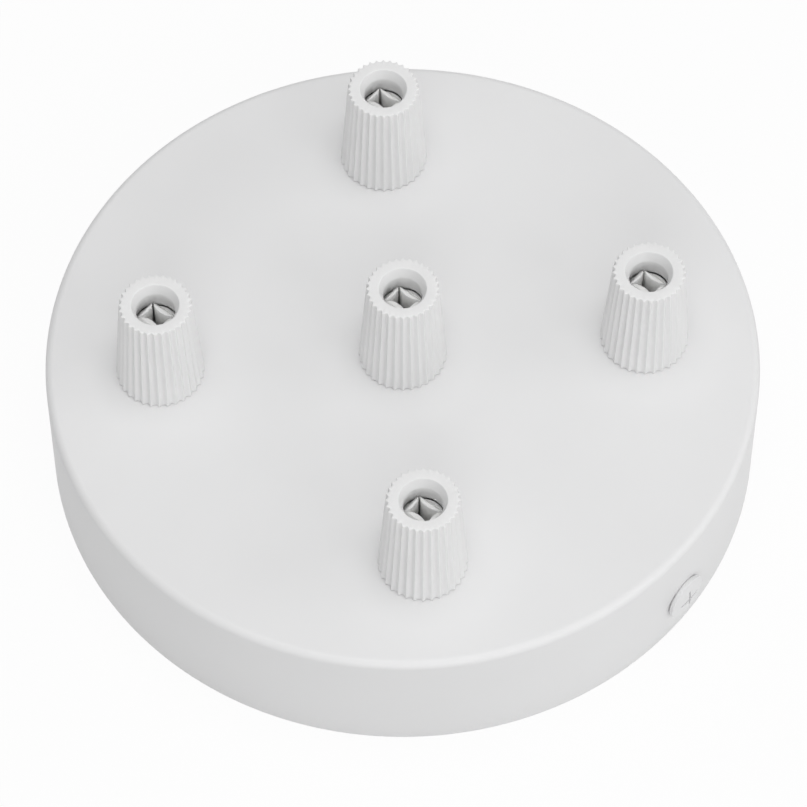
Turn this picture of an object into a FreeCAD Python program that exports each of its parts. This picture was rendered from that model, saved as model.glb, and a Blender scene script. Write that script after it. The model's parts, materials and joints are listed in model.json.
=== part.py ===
import FreeCAD, Part
import math
import os
import Sketcher

# Five-way ceiling rose: a round pressed canopy with five conical cord grips, a strap that holds it
# to the ceiling by two side screws, and a three-pole terminal block and an earth terminal inside.
# Millimetres. The rose stands on its open rim: the ceiling is the plane Z = 0, the grips point
# along +Z, and the side screws lie on the X axis.

# Driving sizes: alias, value, meaning
SIZES = [
    ("canopy_radius", 60.0, "outside radius of the canopy"),
    ("canopy_height", 24.0, "height of the canopy from the ceiling to its flat face"),
    ("sheet_thickness", 1.0, "steel sheet of the canopy"),
    ("canopy_bend_radius", 0.3, "inside radius where the wall turns into the face"),
    ("grip_circle_radius", 40.7, "circle that carries the outer grips"),
    ("grip_start_angle", 43.6, "angle from the side screw to the first outer grip"),
    ("hole_clearance", 0.15, "radial room of a plain hole round a thread"),
    ("thread_clearance", 0.04, "radial room between a thread and its female thread"),
    ("grip_thread_radius", 5.0, "M10 x 1 thread of the grips"),
    ("cord_bore_radius", 3.25, "bore that the cord passes through"),
    ("cap_height", 19.75, "height of the fluted cap"),
    ("cap_seat_gap", 0.1, "running gap between cap and canopy face"),
    ("cap_base_radius", 7.4, "cap over the ridges at its base"),
    ("cap_top_radius", 6.05, "cap over the ridges at its top"),
    ("ridge_count", 32, "ridges round a cap"),
    ("ridge_depth", 0.45, "depth of the grooves between the ridges"),
    ("ridge_crest", 0.12, "half width of a ridge's flat crest"),
    ("cap_mouth_radius", 3.95, "wide end of the cord mouth"),
    ("cap_mouth_depth", 1.78, "depth of the cord mouth"),
    ("cap_bore_length", 1.05, "straight bore below the mouth"),
    ("jaw_room_radius", 3.6, "room for the jaws below that bore"),
    ("press_cone_top", 14.6, "top of the cone that presses the jaws, above the face"),
    ("press_cone_bottom", 12.4, "bottom of the cone that presses the jaws, above the face"),
    ("jaw_gap", 0.3, "radial gap between the open jaws and the cap"),
    ("jaw_opening_long", 4.3, "long side of the opening between the jaws"),
    ("jaw_opening_short", 3.3, "short side of the opening between the jaws"),
    ("jaw_face_radius", 4.15, "rounding of each jaw's inner face towards the cord"),
    ("jaw_corner_height", 16.35, "corners of that opening above the face"),
    ("jaw_crest_reach", 0.08, "how far a jaw's crest goes past the side of the opening"),
    ("jaw_crest_slope", 15.0, "slope of the crest, in degrees"),
    ("jaw_slope", 58.0, "slope of a jaw outside its crest, in degrees"),
    ("jaw_slot_width", 0.35, "slot between two jaws"),
    ("jaw_slot_bottom", 5.0, "bottom of the jaw slots above the face"),
    ("jaw_root_height", 9.0, "where the round bore meets the jaws, above the face"),
    ("stem_drop", 9.5, "length of stem below the canopy face"),
    ("collar_radius", 6.0, "collar of the stem that seats on the face"),
    ("collar_thickness", 1.2, "thickness of the collar"),
    ("collar_room", 0.3, "room round the collar inside the cap"),
    ("thread_chamfer", 0.5, "lead-in of a thread"),
    ("thread_relief", 1.0, "plain neck between the stem's thread and its jaws"),
    ("washer_radius", 8.5, "washer under each lock nut"),
    ("washer_thickness", 1.0, "thickness of that washer"),
    ("nut_flat_radius", 7.0, "half the width across the flats of a lock nut"),
    ("nut_thickness", 3.0, "thickness of a lock nut"),
    ("strap_thickness", 1.5, "steel strip of the ceiling strap"),
    ("strap_width", 20.0, "width of the strap"),
    ("strap_wall_gap", 1.4, "gap between a strap end and the canopy wall"),
    ("strap_end_height", 14.0, "height of the turned-up ends"),
    ("strap_bend_radius", 0.8, "inside radius of the strap's bends"),
    ("strap_corner_radius", 4.0, "rounded corners of the turned-up ends"),
    ("supply_hole_radius", 6.0, "hole for the supply cable"),
    ("slot_inset", 16.6, "middle of a ceiling screw slot from the strap's end"),
    ("slot_half_width", 2.25, "half the width of a ceiling screw slot"),
    ("slot_length", 14.0, "length of a ceiling screw slot from end to end"),
    ("side_screw_height", 8.75, "side screws above the ceiling"),
    ("side_screw_radius", 2.0, "M4 thread of the side screws"),
    ("side_screw_length", 7.0, "length of a side screw under its head"),
    ("side_head_radius", 3.9, "head of a side screw"),
    ("side_head_height", 1.4, "height of that head"),
    ("side_head_rounding", 0.95, "rounding of that head"),
    ("side_cross_length", 2.15, "half the length of its cross recess"),
    ("side_cross_width", 0.25, "half the width of its cross recess"),
    ("side_cross_depth", 0.9, "depth of its cross recess"),
    ("earth_place", 18.0, "earth terminal from the centre of the strap"),
    ("earth_collar_radius", 3.4, "drawn collar that the earth screw is tapped into"),
    ("earth_collar_height", 1.5, "height of that collar above the strap"),
    ("earth_screw_radius", 2.0, "M4 thread of the earth screw"),
    ("earth_screw_length", 3.8, "length of the earth screw under its head"),
    ("earth_head_radius", 3.7, "head of the earth screw"),
    ("earth_head_height", 2.3, "height of that head"),
    ("earth_head_rounding", 1.0, "rounding of that head"),
    ("earth_cross_length", 2.0, "half the length of its cross recess"),
    ("earth_cross_width", 0.42, "half the width of its cross recess"),
    ("earth_cross_depth", 1.2, "depth of its cross recess"),
    ("earth_washer_side", 4.4, "half the side of the square wire clamp"),
    ("earth_washer_thickness", 1.0, "thickness of the wire clamp"),
    ("block_place", -20.4, "terminal block from the centre of the strap"),
    ("pole_pitch", 10.0, "distance between the poles of the block"),
    ("block_depth", 16.0, "length of the block along its wires"),
    ("block_web_depth", 10.0, "web between the poles, along the wires"),
    ("block_web_height", 2.4, "thickness of that web"),
    ("barrel_radius", 3.5, "moulded barrel round a terminal"),
    ("block_foot_width", 2.7, "half the width of a barrel's foot"),
    ("barrel_height", 4.0, "axis of the terminals above the strap"),
    ("chimney_radius", 2.5, "chimney round a terminal screw"),
    ("chimney_height", 11.3, "top of the chimneys above the strap"),
    ("chimney_clearance", 0.3, "radial room of a terminal screw in its chimney"),
    ("chimney_spacing", 8.0, "distance between the two screws of a pole"),
    ("sleeve_radius", 2.3, "outside of a brass terminal"),
    ("sleeve_length", 13.0, "length of a brass terminal"),
    ("wire_bore_radius", 1.5, "wire hole of a terminal"),
    ("clamp_screw_radius", 1.25, "M2.5 screw that clamps a wire"),
    ("clamp_screw_length", 5.0, "length of that screw"),
    ("clamp_screw_chamfer", 0.25, "lead-in of that screw"),
    ("clamp_screw_lift", 0.15, "backed-off screw tip above the wire hole"),
    ("driver_slot_width", 0.3, "half the width of its driver slot"),
    ("driver_slot_depth", 0.6, "depth of its driver slot"),
    ("block_screw_radius", 1.25, "M2.5 screw that holds the block"),
    ("block_screw_length", 3.7, "length of that screw under its head"),
    ("block_head_radius", 2.2, "head of that screw"),
    ("block_head_height", 1.5, "height of that head"),
    ("block_head_rounding", 0.6, "rounding of that head"),
    ("block_cross_length", 1.3, "half the length of its cross recess"),
    ("block_cross_width", 0.3, "half the width of its cross recess"),
    ("block_cross_depth", 0.9, "depth of its cross recess"),
]

OUTER_GRIPS = 4
POLES = 3

# Heights and radii that several pieces share, as expressions on the sheet
FACE_INSIDE = "(Sizes.canopy_height - Sizes.sheet_thickness)"
THREAD_HOLE = "(Sizes.grip_thread_radius + Sizes.thread_clearance)"
STRAP_REACH = "(Sizes.canopy_radius - Sizes.sheet_thickness - Sizes.strap_wall_gap)"
PLATE_TOP = "Sizes.strap_thickness"


def make_sheet(doc):
    """Write the driving sizes into a sheet, one aliased row each."""
    sheet = doc.addObject("Spreadsheet::Sheet", "Sizes")
    for row, (alias, value, meaning) in enumerate(SIZES, start=1):
        sheet.set(f"A{row}", str(value))
        sheet.setAlias(f"A{row}", alias)
        sheet.set(f"B{row}", meaning)
    doc.recompute()


def new_body(doc, label):
    """A body whose label becomes the piece's name."""
    body = doc.addObject("PartDesign::Body", label)
    body.Label = label
    return body


def place(body, x="0", y="0", z="0", turn=None):
    """Put a body at sheet-driven coordinates, turned by a fixed rotation."""
    if turn is not None:
        body.Placement = FreeCAD.Placement(FreeCAD.Vector(), turn)
    for axis, expression in (("x", x), ("y", y), ("z", z)):
        body.setExpression(f"Placement.Base.{axis}", expression)


def origin_plane(body, role):
    """One of the body's own origin planes."""
    return next(feature for feature in body.Origin.OriginFeatures if feature.Role == role)


def origin_axis(body, role):
    """Reference to one of the body's own origin axes."""
    return (origin_plane(body, role), [""])


def new_sketch(body, name, role, lift="0", turn="0"):
    """A sketch on an origin plane, lifted along its normal and turned in it."""
    sketch = body.newObject("Sketcher::SketchObject", name)
    sketch.AttachmentSupport = [(origin_plane(body, role), "")]
    sketch.MapMode = "FlatFace"
    sketch.AttachmentOffset = FreeCAD.Placement(
        FreeCAD.Vector(), FreeCAD.Rotation(FreeCAD.Vector(0, 0, 1), 0)
    )
    sketch.setExpression("AttachmentOffset.Base.z", lift)
    if turn != "0":
        sketch.setExpression("AttachmentOffset.Rotation.Angle", turn)
    return sketch


def value_of(sketch, expression):
    """The present number of an expression on the sheet."""
    result = sketch.evalExpression(expression)
    return float(getattr(result, "Value", result))


def bind(sketch, kind, references, expression):
    """A dimension whose value follows the sheet."""
    number = value_of(sketch, expression)
    index = sketch.addConstraint(Sketcher.Constraint(kind, *references, number))
    sketch.setExpression(f"Constraints[{index}]", expression)


def locate(sketch, geometry, point, x, y):
    """Dimension a point from the sketch's origin."""
    bind(sketch, "DistanceX", (-1, 1, geometry, point), x)
    bind(sketch, "DistanceY", (-1, 1, geometry, point), y)


def draw_outline(sketch, corners):
    """A closed outline of straight lines through corners given as (x, y) expressions."""
    points = [
        FreeCAD.Vector(value_of(sketch, x), value_of(sketch, y), 0) for x, y in corners
    ]
    first = sketch.GeometryCount
    count = len(points)
    for index in range(count):
        sketch.addGeometry(Part.LineSegment(points[index], points[(index + 1) % count]))
    for index in range(count):
        following = first + (index + 1) % count
        sketch.addConstraint(
            Sketcher.Constraint("Coincident", first + index, 2, following, 1)
        )
    for index, (x, y) in enumerate(corners):
        locate(sketch, first + index, 1, x, y)


def draw_circle(sketch, radius, x="0", y="0"):
    """A dimensioned circle."""
    centre = FreeCAD.Vector(value_of(sketch, x), value_of(sketch, y), 0)
    circle = Part.Circle(centre, FreeCAD.Vector(0, 0, 1), value_of(sketch, radius))
    index = sketch.addGeometry(circle)
    bind(sketch, "Radius", (index,), radius)
    locate(sketch, index, 3, x, y)


def draw_box(sketch, half_x, half_y, x="0", y="0"):
    """A rectangle about a centre."""
    left, right = f"{x} - ({half_x})", f"{x} + ({half_x})"
    low, high = f"{y} - ({half_y})", f"{y} + ({half_y})"
    draw_outline(sketch, [(left, low), (right, low), (right, high), (left, high)])


def draw_slot(sketch, half_width, length, x):
    """A round-ended slot along the sketch's X direction, centred on (x, 0)."""
    radius = value_of(sketch, half_width)
    reach = value_of(sketch, length) / 2 - radius
    middle = value_of(sketch, x)
    normal = FreeCAD.Vector(0, 0, 1)
    right = Part.Circle(FreeCAD.Vector(middle + reach, 0, 0), normal, radius)
    left = Part.Circle(FreeCAD.Vector(middle - reach, 0, 0), normal, radius)
    first = sketch.GeometryCount
    sketch.addGeometry(Part.ArcOfCircle(right, -math.pi / 2, math.pi / 2))
    sketch.addGeometry(Part.ArcOfCircle(left, math.pi / 2, 3 * math.pi / 2))
    for height in (radius, -radius):
        start = FreeCAD.Vector(middle - reach, height, 0)
        end = FreeCAD.Vector(middle + reach, height, 0)
        sketch.addGeometry(Part.LineSegment(start, end))
    joins = [(2, 2, 0, 2), (2, 1, 1, 1), (3, 2, 0, 1), (3, 1, 1, 2)]
    for line, line_end, arc, arc_end in joins:
        sketch.addConstraint(
            Sketcher.Constraint("Tangent", first + line, line_end, first + arc, arc_end)
        )
    bind(sketch, "Radius", (first,), half_width)
    locate(sketch, first, 3, f"{x} + ({length}) / 2 - ({half_width})", "0")
    locate(sketch, first + 1, 3, f"{x} - ({length}) / 2 + ({half_width})", "0")


def draw_jaw_opening(sketch):
    """The opening between the jaws: a rectangle whose sides bulge inwards as arcs."""
    half_x, half_y = "Sizes.jaw_opening_long / 2", "Sizes.jaw_opening_short / 2"
    radius = "Sizes.jaw_face_radius"
    sides = [
        (90, half_y, half_x, f"-{half_x}", half_y),
        (0, half_x, half_y, half_x, half_y),
        (270, half_y, half_x, half_x, f"-{half_y}"),
        (180, half_x, half_y, f"-{half_x}", f"-{half_y}"),
    ]
    normal = FreeCAD.Vector(0, 0, 1)
    for index, (facing, out, along, start_x, start_y) in enumerate(sides):
        size, half = value_of(sketch, radius), value_of(sketch, along)
        distance = value_of(sketch, out) + math.sqrt(size ** 2 - half ** 2)
        direction, spread = math.radians(facing), math.asin(half / size)
        centre = FreeCAD.Vector(distance * math.cos(direction), distance * math.sin(direction), 0)
        middle = direction + math.pi
        circle = Part.Circle(centre, normal, size)
        sketch.addGeometry(Part.ArcOfCircle(circle, middle - spread, middle + spread))
        bind(sketch, "Radius", (index,), radius)
        locate(sketch, index, 1, start_x, start_y)
    for index in range(len(sides)):
        following = (index + 1) % len(sides)
        sketch.addConstraint(Sketcher.Constraint("Coincident", index, 2, following, 1))


def draw_jaw_profile(sketch, half_opening):
    """All that lies above two opposite jaws: a gentle crest and a steep outer slope on both sides."""
    slope, crest_slope = "tan(Sizes.jaw_slope * 1 deg)", "tan(Sizes.jaw_crest_slope * 1 deg)"
    crest = f"({half_opening} + Sizes.jaw_crest_reach)"
    crest_height = f"(Sizes.jaw_corner_height - Sizes.jaw_crest_reach * {slope})"
    foot = f"({crest} + ({crest_height} - Sizes.press_cone_top) / {slope})"
    half = [
        (crest, crest_height),
        (foot, "Sizes.press_cone_top"),
        ("Sizes.grip_thread_radius", "Sizes.press_cone_top"),
        ("Sizes.grip_thread_radius", "Sizes.cap_height"),
    ]
    mirrored = [(f"-{x}", height) for x, height in reversed(half)]
    draw_outline(sketch, [("0", f"{crest_height} + {crest} * {crest_slope}"), *half, *mirrored])


def revolve(body, name, corners):
    """Turn an outline of (radius, height) expressions about the body's Z axis."""
    sketch = new_sketch(body, f"{name}_outline", "XZ_Plane")
    draw_outline(sketch, corners)
    feature = body.newObject("PartDesign::Revolution", name)
    feature.Profile = (sketch, [""])
    feature.ReferenceAxis = (sketch, ["V_Axis"])
    feature.Angle = 360
    return feature


def groove(body, name, corners):
    """Turn an outline away from the body about its Z axis."""
    sketch = new_sketch(body, f"{name}_outline", "XZ_Plane")
    draw_outline(sketch, corners)
    feature = body.newObject("PartDesign::Groove", name)
    feature.Profile = (sketch, [""])
    feature.ReferenceAxis = (sketch, ["V_Axis"])
    feature.Angle = 360
    return feature


def pad(body, name, sketch, length, both_sides=False, backwards=False):
    """Raise a sketch into a solid."""
    feature = body.newObject("PartDesign::Pad", name)
    feature.Profile = (sketch, [""])
    feature.setExpression("Length", length)
    feature.SideType = "Symmetric" if both_sides else "One side"
    feature.Reversed = backwards
    return feature


def pocket(body, name, sketch, depth=None, both_sides=False, forwards=False):
    """Cut a sketch out of the body, to a depth or right through."""
    feature = body.newObject("PartDesign::Pocket", name)
    feature.Profile = (sketch, [""])
    if depth is None:
        feature.Type = "ThroughAll"
    else:
        feature.Type = "Length"
        feature.setExpression("Length", depth)
    feature.SideType = "Symmetric" if both_sides else "One side"
    feature.Reversed = forwards
    return feature


def polar(body, name, originals, count):
    """Repeat features evenly round the body's Z axis."""
    feature = body.newObject("PartDesign::PolarPattern", name)
    feature.Originals = originals
    feature.Axis = origin_axis(body, "Z_Axis")
    feature.Angle = 360
    feature.setExpression("Occurrences", count)
    body.Tip = feature
    return feature


def row_of(body, name, originals, axis, length, count):
    """Repeat features evenly along one of the body's axes."""
    feature = body.newObject("PartDesign::LinearPattern", name)
    feature.Originals = originals
    feature.Direction = origin_axis(body, axis)
    feature.setExpression("Length", length)
    feature.Occurrences = count
    body.Tip = feature
    return feature


def edges_where(shape, test):
    """Names of the edges whose middle passes a test."""
    names = []
    for index, edge in enumerate(shape.Edges, start=1):
        middle = edge.valueAt((edge.FirstParameter + edge.LastParameter) / 2)
        if test(edge, middle):
            names.append(f"Edge{index}")
    return names


def round_edges(doc, body, name, base, radius, test):
    """Round the edges of a feature that pass a test."""
    doc.recompute()
    feature = body.newObject("PartDesign::Fillet", name)
    feature.Base = (base, edges_where(base.Shape, test))
    feature.setExpression("Radius", radius)
    return feature


def near(first, second):
    """Whether two lengths agree."""
    return abs(first - second) < 1e-4


def cut_away(doc, body, before, feature):
    """Check that a cut took material away."""
    doc.recompute()
    if feature.Shape.Volume >= before - 1e-6:
        raise ValueError(f"{body.Label}: {feature.Name} cut nothing")
    return feature


def make_canopy(doc):
    """Pressed cup, open at the ceiling, with five grip holes and two side screw holes."""
    body = new_body(doc, "canopy")
    inside = "Sizes.canopy_radius - Sizes.sheet_thickness"
    shell = revolve(body, "shell", [
        ("Sizes.canopy_radius", "0"),
        ("Sizes.canopy_radius", "Sizes.canopy_height"),
        ("0", "Sizes.canopy_height"),
        ("0", FACE_INSIDE),
        (inside, FACE_INSIDE),
        (inside, "0"),
    ])
    doc.recompute()
    height = value_of(body, "Sizes.canopy_height")
    inner_height = value_of(body, FACE_INSIDE)
    outer = round_edges(
        doc, body, "outer_bend", shell, "Sizes.canopy_bend_radius + Sizes.sheet_thickness",
        lambda edge, middle: near(middle.z, height) and not near(middle.x, 0),
    )
    inner = round_edges(
        doc, body, "inner_bend", outer, "Sizes.canopy_bend_radius",
        lambda edge, middle: near(middle.z, inner_height),
    )
    doc.recompute()
    volume = inner.Shape.Volume
    hole_radius = "Sizes.grip_thread_radius + Sizes.hole_clearance"
    sketch = new_sketch(body, "centre_hole_outline", "XY_Plane")
    draw_circle(sketch, hole_radius)
    centre_hole = pocket(body, "centre_hole", sketch, forwards=True)
    cut_away(doc, body, volume, centre_hole)
    sketch = new_sketch(body, "outer_hole_outline", "XY_Plane")
    draw_circle(
        sketch, hole_radius,
        "Sizes.grip_circle_radius * cos(Sizes.grip_start_angle * 1 deg)",
        "Sizes.grip_circle_radius * sin(Sizes.grip_start_angle * 1 deg)",
    )
    outer_hole = pocket(body, "outer_hole", sketch, forwards=True)
    holes = polar(body, "outer_holes", [outer_hole], str(OUTER_GRIPS))
    doc.recompute()
    volume = holes.Shape.Volume
    sketch = new_sketch(body, "side_hole_outline", "YZ_Plane")
    draw_circle(sketch, "Sizes.side_screw_radius + Sizes.hole_clearance", "0", "Sizes.side_screw_height")
    side_holes = pocket(body, "side_holes", sketch, both_sides=True)
    cut_away(doc, body, volume, side_holes)
    return body


def make_strap(doc):
    """Steel strip with turned-up, tapped ends, two ceiling slots and a drawn earth collar."""
    body = new_body(doc, "ceiling_strap")
    thick, high = "Sizes.strap_thickness", "Sizes.strap_end_height"
    profile = new_sketch(body, "strip_outline", "XZ_Plane")
    draw_outline(profile, [
        (f"-{STRAP_REACH}", "0"),
        (STRAP_REACH, "0"),
        (STRAP_REACH, high),
        (f"{STRAP_REACH} - {thick}", high),
        (f"{STRAP_REACH} - {thick}", thick),
        (f"-{STRAP_REACH} + {thick}", thick),
        (f"-{STRAP_REACH} + {thick}", high),
        (f"-{STRAP_REACH}", high),
    ])
    strip = pad(body, "strip", profile, "Sizes.strap_width", both_sides=True)
    doc.recompute()
    reach, thickness = value_of(body, STRAP_REACH), value_of(body, thick)
    end_height, width = value_of(body, high), value_of(body, "Sizes.strap_width")
    outer = round_edges(
        doc, body, "outer_bends", strip, f"Sizes.strap_bend_radius + {thick}",
        lambda edge, middle: near(abs(middle.x), reach) and near(middle.z, 0) and near(middle.y, 0),
    )
    inner = round_edges(
        doc, body, "inner_bends", outer, "Sizes.strap_bend_radius",
        lambda edge, middle: near(abs(middle.x), reach - thickness) and near(middle.z, thickness)
        and near(middle.y, 0),
    )
    corners = round_edges(
        doc, body, "end_corners", inner, "Sizes.strap_corner_radius",
        lambda edge, middle: near(middle.z, end_height) and near(abs(middle.y), width / 2),
    )
    doc.recompute()
    collar_sketch = new_sketch(body, "earth_collar_outline", "XY_Plane")
    draw_circle(collar_sketch, "Sizes.earth_collar_radius", "Sizes.earth_place", "0")
    pad(body, "earth_collar", collar_sketch, f"{thick} + Sizes.earth_collar_height")
    doc.recompute()
    volume = body.Shape.Volume
    sketch = new_sketch(body, "plate_holes_outline", "XY_Plane")
    draw_circle(sketch, "Sizes.supply_hole_radius")
    draw_circle(sketch, "Sizes.earth_screw_radius + Sizes.thread_clearance", "Sizes.earth_place", "0")
    for side in (-1, 1):
        draw_circle(
            sketch, "Sizes.block_screw_radius + Sizes.thread_clearance",
            f"Sizes.block_place + {side} * Sizes.pole_pitch / 2", "0",
        )
        middle = f"{side} * ({STRAP_REACH} - Sizes.slot_inset)"
        draw_slot(sketch, "Sizes.slot_half_width", "Sizes.slot_length", middle)
    plate_holes = pocket(body, "plate_holes", sketch, forwards=True)
    cut_away(doc, body, volume, plate_holes)
    volume = plate_holes.Shape.Volume
    sketch = new_sketch(body, "end_holes_outline", "YZ_Plane")
    draw_circle(sketch, "Sizes.side_screw_radius + Sizes.thread_clearance", "0", "Sizes.side_screw_height")
    end_holes = pocket(body, "end_holes", sketch, both_sides=True)
    cut_away(doc, body, volume, end_holes)
    return body


def make_pan_screw(doc, label, kind):
    """Pan-head screw with a cross recess. Its seat is at Z = 0 and its head points along +Z."""
    body = new_body(doc, label)
    thread, length = f"Sizes.{kind}_screw_radius", f"Sizes.{kind}_screw_length"
    head, height = f"Sizes.{kind}_head_radius", f"Sizes.{kind}_head_height"
    turned = revolve(body, "turned", [
        ("0", f"-{length}"),
        (f"{thread} - Sizes.thread_chamfer", f"-{length}"),
        (thread, f"-{length} + Sizes.thread_chamfer"),
        (thread, "0"),
        (head, "0"),
        (head, height),
        ("0", height),
    ])
    doc.recompute()
    head_radius, head_height = value_of(body, head), value_of(body, height)
    rounded = round_edges(
        doc, body, "rounded_head", turned, f"Sizes.{kind}_head_rounding",
        lambda edge, middle: near(middle.z, head_height) and near(math.hypot(middle.x, middle.y), head_radius),
    )
    doc.recompute()
    sketch = new_sketch(body, "cross_outline", "XY_Plane", height)
    arm, half = f"Sizes.{kind}_cross_length", f"Sizes.{kind}_cross_width"
    draw_outline(sketch, [
        (arm, half), (half, half), (half, arm), (f"-{half}", arm), (f"-{half}", half), (f"-{arm}", half),
        (f"-{arm}", f"-{half}"), (f"-{half}", f"-{half}"), (f"-{half}", f"-{arm}"),
        (half, f"-{arm}"), (half, f"-{half}"), (arm, f"-{half}"),
    ])
    recess = pocket(body, "cross_recess", sketch, f"Sizes.{kind}_cross_depth")
    cut_away(doc, body, rounded.Shape.Volume, recess)
    return body


def make_cap(doc, label):
    """Fluted conical cap: cord mouth, bore, cone that presses the jaws, thread and collar seat."""
    body = new_body(doc, label)
    top, gap = "Sizes.cap_height", "Sizes.cap_seat_gap"
    collar_hole = "Sizes.collar_radius + Sizes.collar_room"
    collar_depth = f"Sizes.collar_thickness + Sizes.collar_room - {gap}"
    bore_end = f"{top} - Sizes.cap_mouth_depth - Sizes.cap_bore_length"
    turned = revolve(body, "turned", [
        ("Sizes.cap_base_radius", "0"),
        ("Sizes.cap_top_radius", top),
        ("Sizes.cap_mouth_radius", top),
        ("Sizes.cord_bore_radius", f"{top} - Sizes.cap_mouth_depth"),
        ("Sizes.cord_bore_radius", bore_end),
        ("Sizes.jaw_room_radius", bore_end),
        ("Sizes.jaw_room_radius", f"Sizes.press_cone_top - {gap}"),
        (THREAD_HOLE, f"Sizes.press_cone_bottom - {gap}"),
        (THREAD_HOLE, collar_depth),
        (collar_hole, collar_depth),
        (collar_hole, "0"),
    ])
    doc.recompute()
    volume = turned.Shape.Volume
    sections = []
    for name, radius, lift in (
        ("groove_foot", "Sizes.cap_base_radius", "0"),
        ("groove_head", "Sizes.cap_top_radius", top),
    ):
        sketch = new_sketch(body, name, "XY_Plane", lift)
        half_pitch = f"({radius} * sin(180 deg / Sizes.ridge_count) - Sizes.ridge_crest)"
        spread = f"2 * {half_pitch}"
        draw_outline(sketch, [
            (f"{radius} - Sizes.ridge_depth", "0"),
            (f"{radius} + Sizes.ridge_depth", f"-{spread}"),
            (f"{radius} + Sizes.ridge_depth", spread),
        ])
        sections.append(sketch)
    flute = body.newObject("PartDesign::SubtractiveLoft", "flute")
    flute.Profile = (sections[0], [""])
    flute.Sections = [sections[1]]
    flute.Ruled = True
    cut_away(doc, body, volume, flute)
    polar(body, "flutes", [flute], "Sizes.ridge_count")
    return body


def make_stem(doc, label):
    """Threaded stem with a collar and, at its head, four jaws round the cord opening."""
    body = new_body(doc, label)
    thread, bore = "Sizes.grip_thread_radius", "Sizes.cord_bore_radius"
    foot, lead = "-Sizes.stem_drop", "Sizes.thread_chamfer"
    neck = f"{THREAD_HOLE} - Sizes.jaw_gap"
    shoulder = "Sizes.jaw_room_radius - Sizes.jaw_gap"
    blank_top = "Sizes.cap_height - Sizes.cap_mouth_depth"
    thread_end = "Sizes.press_cone_bottom - Sizes.thread_relief"
    turned = revolve(body, "turned", [
        (bore, foot),
        (f"{thread} - {lead}", foot),
        (thread, f"{foot} + {lead}"),
        (thread, "0"),
        ("Sizes.collar_radius", "0"),
        ("Sizes.collar_radius", "Sizes.collar_thickness"),
        (thread, "Sizes.collar_thickness"),
        (thread, thread_end),
        (neck, thread_end),
        (neck, "Sizes.press_cone_bottom"),
        (shoulder, "Sizes.press_cone_top"),
        (shoulder, blank_top),
        ("0", blank_top),
        ("0", "Sizes.jaw_root_height"),
        (bore, "Sizes.jaw_root_height"),
    ])
    doc.recompute()
    volume = turned.Shape.Volume
    sketch = new_sketch(body, "opening_outline", "XY_Plane", "Sizes.jaw_root_height")
    draw_jaw_opening(sketch)
    opening = pocket(body, "opening", sketch, forwards=True)
    cut_away(doc, body, volume, opening)
    for name, plane, across in (("long", "XZ_Plane", "long"), ("short", "YZ_Plane", "short")):
        volume = body.Shape.Volume
        sketch = new_sketch(body, f"{name}_tip_outline", plane)
        draw_jaw_profile(sketch, f"Sizes.jaw_opening_{across} / 2")
        tips = pocket(body, f"{name}_tips", sketch, both_sides=True)
        cut_away(doc, body, volume, tips)
    for name, side in (("first", ""), ("second", "-")):
        volume = body.Shape.Volume
        turn = f"{side}atan(Sizes.jaw_opening_short / Sizes.jaw_opening_long)"
        sketch = new_sketch(body, f"{name}_slot_outline", "XY_Plane", "Sizes.jaw_slot_bottom", turn)
        draw_box(sketch, "Sizes.collar_radius", "Sizes.jaw_slot_width / 2")
        slot = pocket(body, f"{name}_slot", sketch, forwards=True)
        cut_away(doc, body, volume, slot)
    return body


def make_washer(doc, label):
    """Flat ring under a lock nut, lying on Z = 0 and below."""
    body = new_body(doc, label)
    hole = "Sizes.grip_thread_radius + Sizes.hole_clearance"
    revolve(body, "ring", [
        (hole, "-Sizes.washer_thickness"),
        ("Sizes.washer_radius", "-Sizes.washer_thickness"),
        ("Sizes.washer_radius", "0"),
        (hole, "0"),
    ])
    return body


def make_nut(doc, label):
    """Thin hexagon nut with its corners turned off, lying on Z = 0 and below."""
    body = new_body(doc, label)
    corner = "Sizes.nut_flat_radius / cos(30 deg)"
    sketch = new_sketch(body, "hexagon", "XY_Plane")
    draw_outline(sketch, [
        (f"{corner} * cos({60 * index} deg)", f"{corner} * sin({60 * index} deg)") for index in range(6)
    ])
    draw_circle(sketch, THREAD_HOLE)
    blank = pad(body, "blank", sketch, "Sizes.nut_thickness", backwards=True)
    doc.recompute()
    bevel = f"({corner} - Sizes.nut_flat_radius)"
    foot = "-Sizes.nut_thickness"
    turned = groove(body, "turned_corners", [
        ("Sizes.nut_flat_radius", foot),
        (f"{corner} + {bevel}", foot),
        (f"{corner} + {bevel}", f"{foot} + {bevel} * 2 * tan(30 deg)"),
    ])
    cut_away(doc, body, blank.Shape.Volume, turned)
    return body


def make_wire_clamp(doc):
    """Square plate that the earth screw presses onto its wire."""
    body = new_body(doc, "earth_wire_clamp")
    sketch = new_sketch(body, "plate_outline", "XY_Plane")
    draw_box(sketch, "Sizes.earth_washer_side", "Sizes.earth_washer_side")
    draw_circle(sketch, "Sizes.earth_screw_radius + Sizes.hole_clearance")
    pad(body, "plate", sketch, "Sizes.earth_washer_thickness")
    return body


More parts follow.
